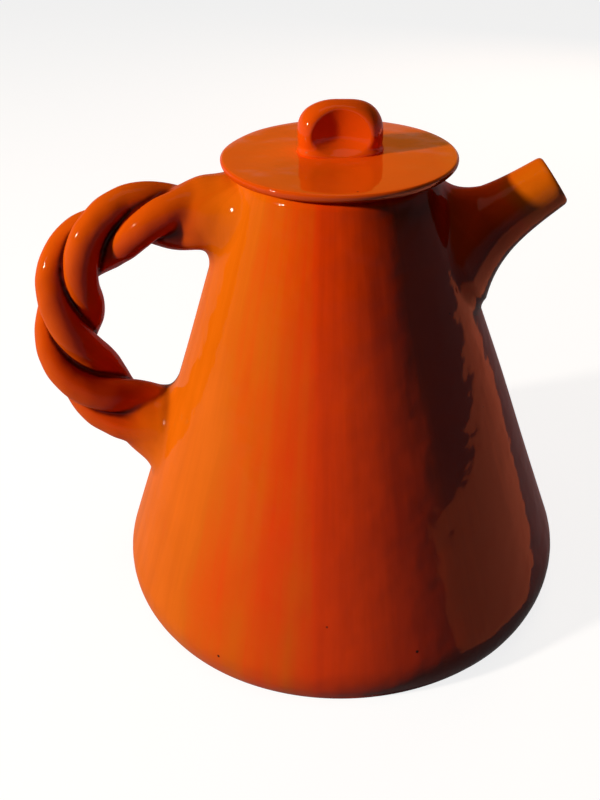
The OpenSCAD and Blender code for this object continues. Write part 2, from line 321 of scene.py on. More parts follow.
def makeBody():
    size = potBody
    slices, rounding, wall = size["slices"], size["footRound"], size["wall"]
    angles = [2 * math.pi * j / slices for j in range(slices)]
    footR = trueRadius(rounding) - rounding
    rings = [turned(r, 0, slices) for r in (*size["footRings"], footR - size["footInset"])]
    footEdge = arc(footR, rounding, rounding, -90, size["footTurn"], size["footSteps"])
    rings += [turned(r, z, slices) for r, z in footEdge]
    top = size["rimZ"] - size["rimRound"]
    rows = round((top - rounding) / size["rowGap"])
    for i in range(rows + 1):
        z = rounding + (top - rounding) * i / rows
        rings.append([bodyPoint(a, z) for a in angles])
    outerR, innerR = size["rimR"] - size["rimRound"], size["rimR"] - wall + size["rimRound"]
    rimEdge = arc(outerR, top, size["rimRound"], size["rimTurn"], 90, size["outerSteps"])
    rimEdge += arc(innerR, top, size["rimRound"], 90, 180, size["innerSteps"])
    rings += [turned(r, z, slices) for r, z in rimEdge]
    coveTop = size["floor"] + size["coveH"]
    rows = round((top - coveTop) / size["insideGap"])
    for i in range(1, rows + 1):
        z = top - (top - coveTop) * i / rows
        deep = size["ringHeight"] * smoothStep(*size["ringFade"], top - z)
        ring = []
        for a in angles:
            r = trueRadius(z) - wall - deep * math.sin(2 * math.pi * z / size["ringGap"] + a)
            ring.append(Vector((r * math.cos(a), r * math.sin(a), z)))
        rings.append(ring)
    coveW = trueRadius(coveTop) - wall - size["floorR"]
    for share, drop in arc(0, 0, 1, size["coveTurn"], 90, size["coveSteps"]):
        rings.append(turned(size["floorR"] + coveW * share, coveTop - size["coveH"] * drop, slices))
    rings += [turned(r, size["floor"], slices) for r in size["floorRings"]]
    piece = clayPiece("potBody", *joinRings(rings, "fans"))
    piece.data.materials.append(bareClay)
    for polygon in piece.data.polygons:  # the foot is wiped clean of glaze
        if polygon.center.z < size["bareBelow"] * mm:
            polygon.material_index = 1
    return piece


potBodyPiece = makeBody()
print("body thrown")


clayJoint = {  # how wet clay is worked onto the wall
    "search": 90.0, "halvings": 36,              # how far and how finely the wall is looked for
    "rimGap": 1.5, "edgeGap": 1.0, "sink": 0.12, "pull": 0.7, "lift": 0.2, "rows": 12,
    "tuck": ((1.5, 0.4), (3.0, 1.8)),            # on past the cove, and how far below the surface
}


def skinToBody(origin, heading, upward, outline, start, rows, slices, back, out):
    # a skin from an open end to the wall, coved onto it and run on below the surface
    joint = clayJoint
    sideways = heading.cross(upward)
    columns = []
    for j in range(slices):
        t = 2 * math.pi * j / slices
        spoke = upward * math.cos(t) + sideways * math.sin(t)
        low, high = start, start + joint["search"]
        for step in range(joint["halvings"]):
            middle = (low + high) / 2
            if insideBody(origin + heading * middle + spoke * outline(middle, t)):
                high = middle
            else:
                low = middle
        hit = origin + heading * high + spoke * outline(high, t)
        reach = high - back(t) - start
        column = [origin + heading * u + spoke * outline(u, t)
                  for u in (start + reach * i / rows for i in range(rows + 1))]
        outwards = bodyNormal(math.atan2(hit.y, hit.x), hit.z)
        along = (spoke - outwards * spoke.dot(outwards)).normalized()

        def onWall(distance, sink):
            p = hit + along * distance
            p.z = min(p.z, potBody["rimZ"] - joint["rimGap"])
            return bodyPoint(math.atan2(p.y, p.x), p.z, sink)

        first, last = column[-1], onWall(out(t), joint["sink"])
        handle1 = first.lerp(hit, joint["pull"])
        handle2 = last.lerp(hit + outwards * joint["lift"], joint["pull"])
        for i in range(1, joint["rows"] + 1):
            v = i / joint["rows"]
            column.append(first * (1 - v) ** 3 + handle1 * 3 * v * (1 - v) ** 2
                          + handle2 * 3 * v * v * (1 - v) + last * v ** 3)
        column += [onWall(out(t) + past, sink) for past, sink in joint["tuck"]]
        columns.append(column)
    return [[column[i] for column in columns] for i in range(len(columns[0]))]


def easeOntoBody(piece, height):  # near the wall a piece takes the wall's normals, to hide the joint
    mesh = piece.data
    low, top = clayJoint["edgeGap"], potBody["rimZ"] - clayJoint["edgeGap"]
    normals = []
    for vertex in mesh.vertices:
        p = vertex.co / mm
        angle = math.atan2(p.y, p.x)
        above = math.hypot(p.x, p.y) - wallRadius(angle, p.z) if low < p.z < top else height
        share = 1 - smoothStep(0, height, above)
        if share:
            normals.append(vertex.normal.lerp(bodyNormal(angle, p.z), share).normalized())
        else:
            normals.append(vertex.normal.copy())
    mesh.normals_split_custom_set_from_vertices(normals)


# Spout

spoutTube = {
    "mouthX": 74.6, "mouthZ": 158.0, "rise": 34.0, "mouthR": 9.1, "taper": 0.08,
    "footR": 23.5, "footLength": 42.0, "flare": 3.6, "wall": 3.2, "slices": 96, "rows": 26,
    "lip": 1.4, "lipTurn": 15, "lipSteps": 5,
    "back": 4.0, "backTop": 9.0, "out": 3.5, "outTop": 10.5,  # the cove, wider above, drawn up to the rim
    "boreRows": 14, "boreStep": 0.25, "boreEnd": 80.0, "boreOver": 1.5, "ease": 1.0,
}
spoutRise = math.radians(spoutTube["rise"])
spoutMouth = Vector((spoutTube["mouthX"], 0, spoutTube["mouthZ"]))
spoutAhead = Vector((-math.cos(spoutRise), 0, -math.sin(spoutRise)))
spoutUp = Vector((-math.sin(spoutRise), 0, math.cos(spoutRise)))


def spoutOutline(u, t):
    size = spoutTube
    u = min(max(u, 0), size["footLength"])
    grow = size["footR"] - size["mouthR"] - size["taper"] * size["footLength"]
    return size["mouthR"] + size["taper"] * u + grow * (u / size["footLength"]) ** size["flare"]


def makeSpout():
    size = spoutTube
    slices, lip, wall, rows = size["slices"], size["lip"], size["wall"], size["boreRows"]
    outer = skinToBody(spoutMouth, spoutAhead, spoutUp, spoutOutline, lip, size["rows"], slices,
                       lambda t: size["back"] + size["backTop"] * max(0, math.cos(t)) ** 2,
                       lambda t: size["out"] + size["outTop"] * max(0, math.cos(t)) ** 2)
    sideways = spoutAhead.cross(spoutUp)
    turns = [2 * math.pi * j / slices for j in range(slices)]
    spokes = [spoutUp * math.cos(t) + sideways * math.sin(t) for t in turns]

    def onBore(u, t, spoke):
        return spoutMouth + spoutAhead * u + spoke * (spoutOutline(u, t) - wall)

    depths = []
    for t, spoke in zip(turns, spokes):
        u = lip
        while u < size["boreEnd"] and not insideBody(onBore(u, t, spoke)):
            u += size["boreStep"]
        depths.append(u + size["boreOver"])
    inner = []
    for i in range(rows, -1, -1):
        inner.append([onBore(lip + (depth - lip) * i / rows, t, spoke)
                      for t, spoke, depth in zip(turns, spokes, depths)])
    edge = arc(size["mouthR"] - wall + lip, -lip, lip, 180 - size["lipTurn"], 90, size["lipSteps"])
    edge += arc(size["mouthR"] - lip, -lip, lip, 90, size["lipTurn"], size["lipSteps"])
    cut = [[spoutMouth - spoutAhead * h + spoke * r for spoke in spokes] for r, h in edge]
    piece = clayPiece("spoutTube", *joinRings(outer[::-1] + cut[::-1] + inner[::-1], "loop"))
    easeOntoBody(piece, size["ease"])
    return piece


handIn(makeSpout(), "pot", ["spout"])

pouringHole = {"r": 12.0, "from": 26.0, "to": 66.0, "slices": 48}  # through the wall behind the spout
drillRings = []
for u in (pouringHole["from"], pouringHole["to"]):
    turns = [2 * math.pi * j / pouringHole["slices"] for j in range(pouringHole["slices"])]
    spokes = [spoutUp * math.cos(t) + Vector((0, math.sin(t), 0)) for t in turns]
    drillRings.append([spoutMouth + spoutAhead * u + spoke * pouringHole["r"] for spoke in spokes])
drill = clayPiece("holeDrill", *joinRings(drillRings, "fans"))
cutter = potBodyPiece.modifiers.new("pouringHole", "BOOLEAN")
cutter.operation = "DIFFERENCE"
cutter.solver = "EXACT"
cutter.object = drill
drilled = bpy.data.meshes.new_from_object(potBodyPiece.evaluated_get(bpy.context.evaluated_depsgraph_get()))
potBodyPiece.modifiers.remove(cutter)
potBodyPiece.data = drilled
bpy.data.objects.remove(drill)
handIn(potBodyPiece, "pot", ["body_wall", "floor_slab"])

# Rope handle

rope = {
    "loopX": -56.3, "loopZ": 108.0, "loopR": 42.5, "turn": 141.0, "lead": 16.8, "tail": 16.5,
    "pitch": 81.6, "start": 14.7, "strandR": 5.75, "twistR": 6.6,
    "square": 1.0, "squareTurn": 83.0, "squareAt": 42.0,  # the loop is fullest at two shoulders
    "swell": 1.1, "swellFrom": 0.4, "swellTo": 0.8,       # thicker towards its lower root
    "lumpSize": 15.0, "lumpHeight": 0.12,
    "samples": 180, "sides": 28, "strands": 3,
}


def makeStrandTree():  # one rolled coil of clay along a straight lead, an arc and a straight tail
    tree = bpy.data.node_groups.new("twistedStrand", "GeometryNodeTree")
    tree.interface.new_socket(name="Geometry", in_out="INPUT", socket_type="NodeSocketGeometry")
    for name in ("Loop X", "Loop Z", "Loop Radius", "Turn", "Lead", "Tail", "Pitch", "Start",
                 "Strand Radius", "Twist Radius", "Square", "Square Turn", "Square At",
                 "Swell", "Swell From", "Swell To", "Lump Scale", "Lump Height"):
        tree.interface.new_socket(name=name, in_out="INPUT", socket_type="NodeSocketFloat")
    for name in ("Samples", "Sides"):
        tree.interface.new_socket(name=name, in_out="INPUT", socket_type="NodeSocketInt")
    tree.interface.new_socket(name="Material", in_out="INPUT", socket_type="NodeSocketMaterial")
    tree.interface.new_socket(name="Geometry", in_out="OUTPUT", socket_type="NodeSocketGeometry")
    given = addNode(tree, "NodeGroupInput", {}, {}).outputs
    number, arrow, joined = "ShaderNodeMath", "ShaderNodeVectorMath", "ShaderNodeCombineXYZ"
    fullTurn = 2 * math.pi

    # a straight line of the coil's length, in even steps
    arcLength = addNode(tree, number, {"operation": "MULTIPLY"},
                        {0: given["Loop Radius"], 1: given["Turn"]}).outputs[0]
    arcEnd = addNode(tree, number, {"operation": "ADD"}, {0: arcLength, 1: given["Lead"]}).outputs[0]
    length = addNode(tree, number, {"operation": "ADD"}, {0: arcEnd, 1: given["Tail"]}).outputs[0]
    far = addNode(tree, joined, {}, {"X": length})
    line = addNode(tree, "GeometryNodeCurvePrimitiveLine", {}, {"End": far.outputs[0]})
    stepped = addNode(tree, "GeometryNodeResampleCurve", {},
                      {"Curve": line.outputs[0], "Count": given["Samples"]})
    spot = addNode(tree, "GeometryNodeInputPosition", {}, {}).outputs[0]
    travelled = addNode(tree, "ShaderNodeSeparateXYZ", {}, {0: spot}).outputs["X"]
    run = addNode(tree, number, {"operation": "SUBTRACT"}, {0: travelled, 1: given["Lead"]}).outputs[0]

    # how far round the loop a point is, and how far along a straight end
    bend = addNode(tree, "ShaderNodeMapRange", {"From Min": 0.0, "To Min": 0.0},
                   {"Value": run, "From Max": arcLength, "To Max": given["Turn"]}).outputs[0]
    bent = addNode(tree, number, {"operation": "MULTIPLY"}, {0: bend, 1: given["Loop Radius"]}).outputs[0]
    straight = addNode(tree, number, {"operation": "SUBTRACT"}, {0: run, 1: bent}).outputs[0]
    past = addNode(tree, number, {"operation": "SUBTRACT"}, {0: bend, 1: given["Square At"]}).outputs[0]
    sides = addNode(tree, number, {"operation": "DIVIDE"}, {0: past, 1: given["Square Turn"]}).outputs[0]
    phase = addNode(tree, number, {"operation": "MULTIPLY", 1: fullTurn}, {0: sides}).outputs[0]
    shoulder = addNode(tree, number, {"operation": "COSINE"}, {0: phase}).outputs[0]
    loopR = addNode(tree, number, {"operation": "MULTIPLY_ADD"},
                    {0: shoulder, 1: given["Square"], 2: given["Loop Radius"]}).outputs[0]

    # the middle of the rope there
    sine = addNode(tree, number, {"operation": "SINE"}, {0: bend}).outputs[0]
    cosine = addNode(tree, number, {"operation": "COSINE"}, {0: bend}).outputs[0]
    minusSine = addNode(tree, number, {"operation": "MULTIPLY", 1: -1.0}, {0: sine}).outputs[0]
    minusCosine = addNode(tree, number, {"operation": "MULTIPLY", 1: -1.0}, {0: cosine}).outputs[0]
    outward = addNode(tree, joined, {}, {"X": minusSine, "Z": cosine}).outputs[0]
    ahead = addNode(tree, joined, {}, {"X": minusCosine, "Z": minusSine}).outputs[0]
    centre = addNode(tree, joined, {}, {"X": given["Loop X"], "Z": given["Loop Z"]}).outputs[0]
    onArc = addNode(tree, arrow, {"operation": "MULTIPLY_ADD"},
                    {0: outward, 1: loopR, 2: centre}).outputs[0]
    middle = addNode(tree, arrow, {"operation": "MULTIPLY_ADD"},
                     {0: ahead, 1: straight, 2: onArc}).outputs[0]

    # the coil winds round that middle and swells towards its end
    wound = addNode(tree, number, {"operation": "SUBTRACT"}, {0: run, 1: given["Start"]}).outputs[0]
    winds = addNode(tree, number, {"operation": "DIVIDE"}, {0: wound, 1: given["Pitch"]}).outputs[0]
    twist = addNode(tree, number, {"operation": "MULTIPLY", 1: fullTurn}, {0: winds}).outputs[0]
    twistSine = addNode(tree, number, {"operation": "SINE"}, {0: twist}).outputs[0]
    twistCosine = addNode(tree, number, {"operation": "COSINE"}, {0: twist}).outputs[0]
    aside = addNode(tree, number, {"operation": "MULTIPLY", 1: -1.0}, {0: twistSine}).outputs[0]
    sideways = addNode(tree, joined, {}, {"Y": aside}).outputs[0]
    spoke = addNode(tree, arrow, {"operation": "MULTIPLY_ADD"},
                    {0: outward, 1: twistCosine, 2: sideways}).outputs[0]
    share = addNode(tree, number, {"operation": "DIVIDE"}, {0: travelled, 1: length}).outputs[0]
    swell = addNode(tree, "ShaderNodeMapRange", {"interpolation_type": "SMOOTHSTEP", "To Min": 1.0},
                    {"Value": share, "From Min": given["Swell From"], "From Max": given["Swell To"],
                     "To Max": given["Swell"]}).outputs[0]
    twistR = addNode(tree, number, {"operation": "MULTIPLY"},
                     {0: swell, 1: given["Twist Radius"]}).outputs[0]
    strandLine = addNode(tree, arrow, {"operation": "MULTIPLY_ADD"},
                         {0: spoke, 1: twistR, 2: middle}).outputs[0]
    keep = tree.nodes.new("GeometryNodeCaptureAttribute")  # the swell stays with each point
    keep.capture_items.new("FLOAT", "Swell")
    tree.links.new(stepped.outputs[0], keep.inputs[0])
    tree.links.new(swell, keep.inputs[1])
    laid = addNode(tree, "GeometryNodeSetPosition", {},
                   {"Geometry": keep.outputs[0], "Position": strandLine})

    # rolled by hand, so a little lumpy
    profile = addNode(tree, "GeometryNodeCurvePrimitiveCircle", {},
                      {"Resolution": given["Sides"], "Radius": given["Strand Radius"]})
    lumps = addNode(tree, "ShaderNodeTexNoise", {"Detail": 1.0},
                    {"Vector": spot, "Scale": given["Lump Scale"]})
    swing = addNode(tree, number, {"operation": "SUBTRACT", 1: 0.5}, {0: lumps.outputs[0]}).outputs[0]
    lumpy = addNode(tree, number, {"operation": "MULTIPLY_ADD", 2: 1.0},
                    {0: swing, 1: given["Lump Height"]}).outputs[0]
    fat = addNode(tree, number, {"operation": "MULTIPLY"}, {0: keep.outputs[1], 1: lumpy}).outputs[0]
    swept = addNode(tree, "GeometryNodeCurveToMesh", {"Fill Caps": True},
                    {"Curve": laid.outputs[0], "Profile Curve": profile.outputs[0], "Scale": fat})
    smooth = addNode(tree, "GeometryNodeSetShadeSmooth", {}, {0: swept.outputs[0]})
    realised = addNode(tree, "GeometryNodeRealizeInstances", {}, {0: smooth.outputs[0]})
    painted = addNode(tree, "GeometryNodeSetMaterial", {},
                      {0: realised.outputs[0], "Material": given["Material"]})
    addNode(tree, "NodeGroupOutput", {}, {0: painted.outputs[0]})
    return tree


def makeStrand(tree, number):
    size = rope
    name = "ropeStrand%d" % (number + 1)
    strand = bpy.data.objects.new(name, bpy.data.meshes.new(name))
    scene.collection.objects.link(strand)
    twister = strand.modifiers.new("twist", "NODES")
    twister.node_group = tree
    values = {
        "Loop X": size["loopX"] * mm, "Loop Z": size["loopZ"] * mm, "Loop Radius": size["loopR"] * mm,
        "Turn": math.radians(size["turn"]), "Lead": size["lead"] * mm, "Tail": size["tail"] * mm,
        "Pitch": size["pitch"] * mm,
        "Start": (size["start"] + number * size["pitch"] / size["strands"]) * mm,
        "Strand Radius": size["strandR"] * mm, "Twist Radius": size["twistR"] * mm,
        "Square": size["square"] * mm, "Square Turn": math.radians(size["squareTurn"]),
        "Square At": math.radians(size["squareAt"]),
        "Swell": size["swell"], "Swell From": size["swellFrom"], "Swell To": size["swellTo"],
        "Lump Scale": 1 / (size["lumpSize"] * mm), "Lump Height": size["lumpHeight"],
        "Samples": size["samples"], "Sides": size["sides"], "Material": glaze,
    }
    for item in tree.interface.items_tree:
        if item.in_out == "INPUT" and item.name in values:
            twister[item.identifier] = values[item.name]
    graph = bpy.context.evaluated_depsgraph_get()
    strand.data = bpy.data.meshes.new_from_object(strand.evaluated_get(graph))
    strand.modifiers.remove(twister)
    return strand


strandTree = makeStrandTree()
strands = [makeStrand(strandTree, number) for number in range(rope["strands"])]
print("rope twisted")

# Roots of the handle

upperRoot = {"place": 4.3, "from": -15.0, "start": 4.6, "full": 8.0, "neck": 12.1, "run": 14.0, "most": 1.5,
             "growUp": 0.6, "growDown": 7.0, "growSide": 3.0, "back": 5.0, "outUp": 0.8, "outDown": 9.0,
             "rows": 16, "slices": 84}
lowerRoot = {"place": 5.0, "from": -15.0, "start": 5.0, "full": 8.0, "neck": 13.3, "run": 14.0, "most": 1.5,
             "growUp": 4.0, "growDown": 1.0, "growSide": 3.0, "back": 5.0, "outUp": 9.0, "outDown": 4.0,
             "rows": 16, "slices": 84}


def makeRoot(name, size, origin, heading, upward):  # fills the rope's creases and spreads onto the wall
    def outline(u, t):
        up, down = max(0.0, math.cos(t)), max(0.0, -math.cos(t))
        grow = size["growUp"] * up ** 2 + size["growDown"] * down ** 2 + size["growSide"] * math.sin(t) ** 2
        neck = size["start"] + (size["neck"] - size["start"]) * smoothStep(size["from"], size["full"], u)
        return neck + grow * min(size["most"], max(0.0, u / size["run"])) ** 2

    middle, swing = (size["outUp"] + size["outDown"]) / 2, (size["outUp"] - size["outDown"]) / 2
    rings = skinToBody(origin, heading, upward, outline, size["from"], size["rows"], size["slices"],
                       lambda t: size["back"], lambda t: middle + swing * math.cos(t))
    return clayPiece(name, *joinRings(rings, "fans"))


loopCentre = Vector((rope["loopX"], 0, rope["loopZ"]))
ropeTop = loopCentre + Vector((upperRoot["place"], 0, rope["loopR"]))
ropeTurn = math.radians(rope["turn"])
ropeAhead = Vector((-math.cos(ropeTurn), 0, -math.sin(ropeTurn)))
ropeOut = Vector((-math.sin(ropeTurn), 0, math.cos(ropeTurn)))
ropeEnd = loopCentre + ropeOut * rope["loopR"] + ropeAhead * lowerRoot["place"]
roots = [makeRoot("upperRoot", upperRoot, ropeTop, Vector((1, 0, 0)), Vector((0, 0, 1))),
         makeRoot("lowerRoot", lowerRoot, ropeEnd, ropeAhead, -ropeOut)]

# Wet coils pressed together: strands and roots become one skin

ropeHandle = {
    "voxel": 0.6, "smoothing": 5, "dent": 0.22, "dentSize": 7.0,
    "free": (1.5, 5), "thumbed": (14, 32), "thumbing": 70,   # off the wall, thumbed smooth only near it
    "poolFrom": -0.2, "poolTo": 0.34, "poolSpread": 9,       # how hollow a crease is, for glaze gathering there and painted shade
    "coilTone": 0.8, "coilFrom": (0, 22),
    # the outside of the loop painted paler as painted light, its inside painted darker as painted shade
    "outerPaintedLight": 0.45, "outerFrom": (-0.6, 0.9), "innerPaintedShade": 0.6, "innerFrom": (0, 0.9),
    "ease": 0.9,
}


def fuseClay(name, pieces, size):
    work = bmesh.new()
    for piece in pieces:
        work.from_mesh(piece.data)
        bpy.data.objects.remove(piece)
    mesh = bpy.data.meshes.new(name)
    work.to_mesh(mesh)
    work.free()
    fused = bpy.data.objects.new(name, mesh)
    scene.collection.objects.link(fused)
    press = fused.modifiers.new("press", "REMESH")
    press.mode = "VOXEL"
    press.voxel_size = size["voxel"] * mm
    press.use_smooth_shade = True
    wipe = fused.modifiers.new("wipe", "SMOOTH")
    wipe.iterations = size["smoothing"]
    fused.data = bpy.data.meshes.new_from_object(fused.evaluated_get(bpy.context.evaluated_depsgraph_get()))
    fused.modifiers.clear()
    ends = fused.vertex_groups.new(name="ends")
    for vertex in fused.data.vertices:
        away = math.hypot(vertex.co.x, vertex.co.y) / mm - trueRadius(vertex.co.z / mm)
        weight = smoothStep(*size["free"], away) * (1 - smoothStep(*size["thumbed"], away))
        ends.add([vertex.index], weight, "REPLACE")
    thumb = fused.modifiers.new("thumb", "SMOOTH")
    thumb.vertex_group = ends.name
    thumb.iterations = size["thumbing"]
    fused.data = bpy.data.meshes.new_from_object(fused.evaluated_get(bpy.context.evaluated_depsgraph_get()))
    fused.modifiers.clear()
    fused.vertex_groups.clear()
    dented = []
    for vertex in fused.data.vertices:
        spot = vertex.co / mm
        free = smoothStep(*size["free"], math.hypot(spot.x, spot.y) - trueRadius(spot.z))
        dent = free * size["dent"] * noise.noise(spot / size["dentSize"])
        dented.extend((spot + vertex.normal * dent) * mm)
    fused.data.vertices.foreach_set("co", dented)
    fused.data.update()
    fused.data.materials.clear()
    fused.data.materials.append(glaze)
    return fused


def poolAndPaintLoopLight(piece, size):  # the glaze runs into what is hollow, partly painted shade, and darkens along the coils; painted light and shade on the loop
    mesh = piece.data
    work = bmesh.new()
    work.from_mesh(mesh)
    near = [[edge.other_vert(vertex).index for edge in vertex.link_edges] for vertex in work.verts]
    work.free()
    spots = [vertex.co / mm for vertex in mesh.vertices]
    hollow = []
    for vertex, links in zip(mesh.vertices, near):  # curvature from the points around
        offsets = [spots[k] - spots[vertex.index] for k in links]
        mean = sum(offsets, Vector()) / len(offsets)
        hollow.append(4 * mean.dot(vertex.normal) * len(offsets) / sum(o.length_squared for o in offsets))
    for step in range(size["poolSpread"]):
        hollow = [(h + sum(hollow[k] for k in links)) / (1 + len(links)) for h, links in zip(hollow, near)]
    away = [math.hypot(p.x, p.y) - trueRadius(p.z) for p in spots]
    coils = [size["coilTone"] * smoothStep(*size["coilFrom"], a) for a in away]
    poolsAndShade = [smoothStep(size["poolFrom"] * c, size["poolTo"], h) for c, h in zip(coils, hollow)]
    for i, spot in enumerate(spots):  # painted light round the outside of the loop, painted shade on its inside
        outwards = Vector((spot.x - loopCentre.x, 0, spot.z - loopCentre.z)).normalized()
        facing = mesh.vertices[i].normal.dot(outwards)
        poolsAndShade[i] = max(poolsAndShade[i], size["innerPaintedShade"] * coils[i] * smoothStep(*size["innerFrom"], -facing))
        coils[i] *= 1 - size["outerPaintedLight"] * smoothStep(*size["outerFrom"], facing)
    mesh.attributes.new("poolAndShade", "FLOAT", "POINT").data.foreach_set("value", poolsAndShade)
    mesh.attributes.new("coil", "FLOAT", "POINT").data.foreach_set("value", coils)


handlePiece = fuseClay("ropeHandle", strands + roots, ropeHandle)
poolAndPaintLoopLight(handlePiece, ropeHandle)
easeOntoBody(handlePiece, ropeHandle["ease"])
handIn(handlePiece, "pot",
       ["handle_strand_1", "handle_strand_2", "handle_strand_3", "upper_root", "lower_root"])

# Lid

lidPlate = {
    "r": 40.2, "z": 165.0, "x": 1.2, "y": 4.0, "thick": 3.0, "upperEdge": 1.0, "underEdge": 1.9,
    "slices": 160, "upperSteps": 9, "underSteps": 5,
    "underRings": (10, 22, 30, 34, 37), "topRings": (37, 35, 32, 29, 26, 23, 20, 17, 14, 11, 8, 5, 2),
    "wobble": 0.35, "wobbleScale": 1.7, "wobbleSeed": 0.3,              # not quite round
    "wave": 0.2, "waveSize": 24.0, "waveSeed": 5.0, "waveAbove": 1.0,   # nor quite flat on top
    "warp": 0.3, "warpFrom": 27.0,                                      # and it hangs towards the spout
    "flatFrom": 0.9,
}


def makeLid():
    size = lidPlate
    outline = [(r, 0) for r in size["underRings"]]
    outline += arc(size["r"] - size["underEdge"], size["underEdge"], size["underEdge"],
                   -90, 0, size["underSteps"])
    outline += arc(size["r"] - size["upperEdge"], size["thick"] - size["upperEdge"], size["upperEdge"],
                   0, 90, size["upperSteps"])
    outline += [(r, size["thick"]) for r in size["topRings"]]
    rings = []
    for r, h in outline:
        ring = []
        for j in range(size["slices"]):
            a = 2 * math.pi * j / size["slices"]
            spot = Vector((math.cos(a), math.sin(a), size["wobbleSeed"]))
            edge = r + size["wobble"] * noise.noise(spot * size["wobbleScale"]) * (r / size["r"]) ** 2
            swing = -size["warp"] * spot.x * smoothStep(size["warpFrom"], size["r"], r)
            if h > size["waveAbove"]:
                onTop = Vector((r * spot.x, r * spot.y, size["waveSeed"]))
                swing += size["wave"] * noise.noise(onTop / size["waveSize"])
            x, y = size["x"] + edge * spot.x, size["y"] + edge * spot.y
            ring.append(Vector((x, y, size["z"] + h + swing)))
        rings.append(ring)
    piece = clayPiece("lidPlate", *joinRings(rings, "fans"), paintedBrightLidGlaze)
    piece.data.materials.append(thumbedGlaze)
    for polygon in piece.data.polygons:  # the edge and the underside are redder, without the top's painted light, and less mirror-like
        if polygon.normal.z < size["flatFrom"]:
            polygon.material_index = 1
    return piece


handIn(makeLid(), "lid", ["lid_plate"])

lidRing = {"outerR": 27.1, "innerR": 23.1, "top": 165.2, "bottom": 156.0, "round": 1.2,
           "steps": 5, "slices": 128}


def makeLidRing():
    size = lidRing
    rounding, low = size["round"], size["bottom"] + size["round"]
    outline = [(size["outerR"], size["top"])]
    outline += arc(size["outerR"] - rounding, low, rounding, 0, -90, size["steps"])
    outline += arc(size["innerR"] + rounding, low, rounding, -90, -180, size["steps"])
    outline += [(size["innerR"], size["top"])]
    rings = [turned(r, z, size["slices"]) for r, z in outline]
    return clayPiece("lidRing", *joinRings(rings, "loop"), paintedBrightLidGlaze)


handIn(makeLidRing(), "lid", ["locating_ring"])

# Knob

lidKnob = {
    "x": 1.6, "y": 7.0, "z": 168.0, "height": 17.0, "middleZ": 6.2, "halfW": 14.5, "drop": 10.5,
    "crest": 7.0, "crestTop": 4.6, "middle": 3.5, "hollowW": 10.2, "hollowUp": 8.9, "hollowDown": 6.2,
    "shoulder": 2.5, "base": 3.0, "bowlRound": 0.75,
    "footFlare": 1.3, "footH": 2.6, "flareFull": 3.0, "lump": 0.2, "lumpSize": 9.0,
    "spokes": 112, "bowlRows": 16, "edgeFrom": 80, "edgeRows": 8,
}


def makeKnob():  # a pad of clay pinched between finger and thumb, hollow on both faces
    size = lidKnob
    rise = size["height"] - size["middleZ"]

    def outlineR(c, s):  # round shoulders above, squarer below where it stands on the lid
        power, far = (size["shoulder"], rise) if s > 0 else (size["base"], size["drop"])
        return (abs(c / size["halfW"]) ** power + abs(s / far) ** power) ** (-1 / power)

    def hollowR(c, s):
        return 1 / math.hypot(c / size["hollowW"], s / (size["hollowUp"] if s > 0 else size["hollowDown"]))

    profile = []  # shares of the way to the hollow's crest, of the way on to the outline, and of the height
    for i in range(1, size["bowlRows"] + 1):
        s = i / size["bowlRows"]
        bowl = size["bowlRound"] * s * s + (1 - size["bowlRound"]) * smoothStep(0, 1, s)
        profile.append((s, 0.0, bowl))
    for share, thick in arc(0, 0, 1, size["edgeFrom"], 0, size["edgeRows"]):  # over the rolled edge
        profile.append((1.0, share, thick))
    rings = []
    for side, rows in ((-1, profile), (1, profile[-2::-1])):
        for inner, outer, lift in rows:
            ring = []
            for j in range(size["spokes"]):
                a = 2 * math.pi * j / size["spokes"]
                c, s = math.cos(a), math.sin(a)
                r = inner * hollowR(c, s) * (1 - outer) + outlineR(c, s) * outer
                crest = size["crest"] + (size["crestTop"] - size["crest"]) * max(0.0, s) ** 2
                thick = crest * lift if outer else size["middle"] + (crest - size["middle"]) * lift
                p = Vector((r * c, side * thick, size["middleZ"] + r * s))
                near = (1 - smoothStep(0, size["footH"], p.z)) * size["footFlare"]
                p.x += near * p.x / size["halfW"]
                p.y += near * side * smoothStep(0, size["flareFull"], thick)
                p += Vector((1, 1, 1)) * size["lump"] * noise.noise(p / size["lumpSize"])
                ring.append(p + Vector((size["x"], size["y"], size["z"])))
            rings.append(ring)
    return clayPiece("lidKnob", *joinRings(rings, "fans"), thumbedGlaze)


handIn(makeKnob(), "lid", ["lid_knob"])

# Camera

view = {"away": 309.1, "height": 270.0, "aimZ": 71.7, "azimuth": -3.0, "roll": -0.0132, "lens": 42.525,
        "sensor": 36.0, "shift": -0.05025, "near": 10.0}
turn = math.radians(view["azimuth"])
eye = Vector((math.sin(turn), -math.cos(turn), 0)) * view["away"] + Vector((0, 0, view["height"]))
forward = (Vector((0, 0, view["aimZ"])) - eye).normalized()
right = forward.cross(Vector((0, 0, 1))).normalized()
above = right.cross(forward)
level, tilt = math.cos(view["roll"]), math.sin(view["roll"])
axes = Matrix((right * level + above * tilt, above * level - right * tilt, -forward)).transposed()
camera = bpy.data.objects.new("camera", bpy.data.cameras.new("camera"))
camera.matrix_world = Matrix.Translation(eye * mm) @ axes.to_4x4()
camera.data.lens = view["lens"]
camera.data.sensor_width = view["sensor"]
camera.data.shift_x = view["shift"]
camera.data.clip_start = view["near"] * mm
scene.collection.objects.link(camera)
scene.camera = camera

# Floor and light

floorLook = {"size": 60.0, "white": "#FFFFFF", "glow": 0.84, "lit": 0.26, "dim": 0.06}


def seenDirectly(tree):  # 1 where the camera, a reflection or a clear piece looks
    path = addNode(tree, "ShaderNodeLightPath", {}, {})
    mirrored = addNode(tree, "ShaderNodeMath", {"operation": "MAXIMUM"},
                       {0: path.outputs["Is Camera Ray"], 1: path.outputs["Is Glossy Ray"]})
    return addNode(tree, "ShaderNodeMath", {"operation": "MAXIMUM"},
                   {0: mirrored.outputs[0], 1: path.outputs["Is Transmission Ray"]}).outputs[0]


